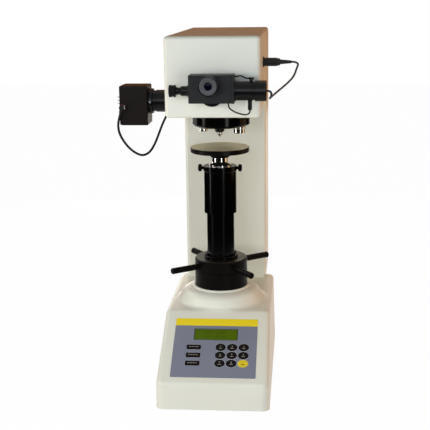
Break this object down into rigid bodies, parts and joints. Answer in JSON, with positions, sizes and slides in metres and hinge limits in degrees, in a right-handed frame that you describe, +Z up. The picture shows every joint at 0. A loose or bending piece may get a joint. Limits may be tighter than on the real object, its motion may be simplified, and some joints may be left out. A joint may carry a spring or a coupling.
{
  "type": "hardness tester",
  "caption": "Bench micro hardness tester with a keypad base, elevating screw and table, three-station turret, measuring eyepiece and side camera.",
  "frame": {"origin": "on the floor under the middle of the tester's box, leads left out", "axes": "+Z up along the elevating screw, -Y the front with the keypad and eyepiece, +X the operator's right"},
  "size_m": [0.3341, 0.5068, 0.654],
  "materials": {
    "cream_paint": "satin",
    "sheet_steel": "satin",
    "foot_rubber": "matte",
    "screw_steel": "satin",
    "black_plastic": "matte",
    "overlay_blue": "satin",
    "lcd_glass": "gloss",
    "board_green": "satin",
    "key_black": "satin",
    "key_yellow": "satin",
    "black_steel": "satin",
    "bronze": "satin",
    "chrome": "gloss",
    "black_aluminium": "satin",
    "lens_glass": "gloss",
    "cord_jacket": "matte"
  },
  "bodies": {
    "frame": {"base_housing": "cream_paint", "base_plate": "sheet_steel", "bearing_housing": "black_steel", "camera_adapter": "black_aluminium", "camera_body": "black_aluminium", "camera_cable": "cord_jacket", "camera_plug": "black_plastic", "camera_ring": "black_aluminium", "column_cover": "cream_paint", "display": "lcd_glass", "encoder_lead": "cord_jacket", "encoder_plug": "cord_jacket", "eyepiece_flange": "black_aluminium", "keypad_board": "board_green", "keypad_overlay": "overlay_blue", "power_module": "black_plastic", "rear_cover": "cream_paint", "rear_cover_screws": "screw_steel", "rubber_feet": "foot_rubber", "side_sockets": "black_plastic", "thrust_bearing": "screw_steel", "turret_mount": "black_steel", "video_plug": "cord_jacket"},
    "handwheel": {"handwheel_hub": "black_steel", "handwheel_spokes": "black_steel", "screw_nut": "bronze", "lower_dust_tube": "black_steel", "flange_screws": "screw_steel"},
    "screw": {"elevating_screw": "chrome", "specimen_table": "black_steel", "upper_dust_tube": "black_steel"},
    "thumb_left": {"thumb_screw_left": "black_steel"},
    "thumb_right": {"thumb_screw_right": "black_steel"},
    "turret": {"turret_body": "black_steel", "short_objective": "chrome", "long_objective": "chrome", "indenter_holder": "chrome", "indenter": "chrome"},
    "measuring_head": {"measuring_block": "black_aluminium", "encoder_barrel": "black_aluminium", "encoder_cap": "black_plastic", "knob_sleeve": "black_aluminium", "eyepiece_tube": "black_aluminium", "eye_lens": "lens_glass", "link_wires": "cord_jacket"},
    "knob": {"measuring_knob": "black_aluminium"},
    "dioptre": {"dioptre_ring": "black_plastic"},
    "rocker": {"power_switch": "black_plastic"},
    "key_row1_1_body": {"key_row1_1": "key_black"},
    "key_row1_2_body": {"key_row1_2": "key_black"},
    "key_row1_3_body": {"key_row1_3": "key_black"},
    "key_row2_1_body": {"key_row2_1": "key_black"},
    "key_row2_2_body": {"key_row2_2": "key_black"},
    "key_row2_3_body": {"key_row2_3": "key_black"},
    "key_row3_1_body": {"key_row3_1": "key_black"},
    "key_row3_2_body": {"key_row3_2": "key_black"},
    "key_row3_3_body": {"key_row3_3": "key_yellow"},
    "mode_key_lower_body": {"mode_key_lower": "key_black"},
    "mode_key_middle_body": {"mode_key_middle": "key_black"},
    "mode_key_upper_body": {"mode_key_upper": "key_black"}
  },
  "joints": [
    {"name": "handwheel_turn", "type": "hinge", "parent": "frame", "child": "handwheel", "pos_m": [0.0429, -0.03041, 0.219], "axis": [0, 0, 1], "range_deg": [-1150, 4315]},
    {"name": "screw_lift", "type": "slide", "parent": "frame", "child": "screw", "axis": [0, 0, 1], "range_m": [-0.06, 0.016]},
    {"name": "turret_turn", "type": "hinge", "parent": "frame", "child": "turret", "pos_m": [0.0429, 0.00409, 0.508], "axis": [0, 0, 1], "range_deg": [-90, 90]},
    {"name": "measuring_turn", "type": "hinge", "parent": "frame", "child": "measuring_head", "pos_m": [0.0429, -0.18541, 0.5573], "axis": [0, -1, 0], "range_deg": [0, 90], "deforming": ["encoder_lead"]},
    {"name": "measuring_knob_turn", "type": "hinge", "parent": "measuring_head", "child": "knob", "pos_m": [-0.0146, -0.20241, 0.565], "axis": [1, 0, 0], "range_deg": [-720, 720]},
    {"name": "dioptre_turn", "type": "hinge", "parent": "measuring_head", "child": "dioptre", "pos_m": [0.0429, -0.23541, 0.5762], "axis": [0, 1, 0], "range_deg": [-60, 60]},
    {"name": "thumb_left_turn", "type": "hinge", "parent": "screw", "child": "thumb_left", "pos_m": [0.0123, -0.03041, 0.4042], "axis": [-1, 0, 0], "range_deg": [0, 720]},
    {"name": "thumb_right_turn", "type": "hinge", "parent": "screw", "child": "thumb_right", "pos_m": [0.0735, -0.03041, 0.4042], "axis": [1, 0, 0], "range_deg": [0, 720]},
    {"name": "power_switch_rock", "type": "hinge", "parent": "frame", "child": "rocker", "pos_m": [0.0344, 0.24619, 0.192], "axis": [1, 0, 0], "range_deg": [0, 14]},
    {"name": "key_1_1_press", "type": "slide", "parent": "frame", "child": "key_row1_1_body", "axis": [0, 0.5295, -0.8483], "range_m": [0, 0.0005], "stiffness_N_per_m": 4000, "springref_m": -0.0002},
    {"name": "key_1_2_press", "type": "slide", "parent": "frame", "child": "key_row1_2_body", "axis": [0, 0.5295, -0.8483], "range_m": [0, 0.0005], "stiffness_N_per_m": 4000, "springref_m": -0.0002},
    {"name": "key_1_3_press", "type": "slide", "parent": "frame", "child": "key_row1_3_body", "axis": [0, 0.5295, -0.8483], "range_m": [0, 0.0005], "stiffness_N_per_m": 4000, "springref_m": -0.0002},
    {"name": "key_2_1_press", "type": "slide", "parent": "frame", "child": "key_row2_1_body", "axis": [0, 0.5295, -0.8483], "range_m": [0, 0.0005], "stiffness_N_per_m": 4000, "springref_m": -0.0002},
    {"name": "key_2_2_press", "type": "slide", "parent": "frame", "child": "key_row2_2_body", "axis": [0, 0.5295, -0.8483], "range_m": [0, 0.0005], "stiffness_N_per_m": 4000, "springref_m": -0.0002},
    {"name": "key_2_3_press", "type": "slide", "parent": "frame", "child": "key_row2_3_body", "axis": [0, 0.5295, -0.8483], "range_m": [0, 0.0005], "stiffness_N_per_m": 4000, "springref_m": -0.0002},
    {"name": "key_3_1_press", "type": "slide", "parent": "frame", "child": "key_row3_1_body", "axis": [0, 0.5295, -0.8483], "range_m": [0, 0.0005], "stiffness_N_per_m": 4000, "springref_m": -0.0002},
    {"name": "key_3_2_press", "type": "slide", "parent": "frame", "child": "key_row3_2_body", "axis": [0, 0.5295, -0.8483], "range_m": [0, 0.0005], "stiffness_N_per_m": 4000, "springref_m": -0.0002},
    {"name": "key_3_3_press", "type": "slide", "parent": "frame", "child": "key_row3_3_body", "axis": [0, 0.5295, -0.8483], "range_m": [0, 0.0005], "stiffness_N_per_m": 4000, "springref_m": -0.0002},
    {"name": "mode_lower_press", "type": "slide", "parent": "frame", "child": "mode_key_lower_body", "axis": [0, 0.5295, -0.8483], "range_m": [0, 0.0005], "stiffness_N_per_m": 4000, "springref_m": -0.0002},
    {"name": "mode_middle_press", "type": "slide", "parent": "frame", "child": "mode_key_middle_body", "axis": [0, 0.5295, -0.8483], "range_m": [0, 0.0005], "stiffness_N_per_m": 4000, "springref_m": -0.0002},
    {"name": "mode_upper_press", "type": "slide", "parent": "frame", "child": "mode_key_upper_body", "axis": [0, 0.5295, -0.8483], "range_m": [0, 0.0005], "stiffness_N_per_m": 4000, "springref_m": -0.0002}
  ],
  "couplings": [
    {"joint": "screw_lift", "follows": "handwheel_turn", "m_per_rad": -0.00079577}
  ]
}
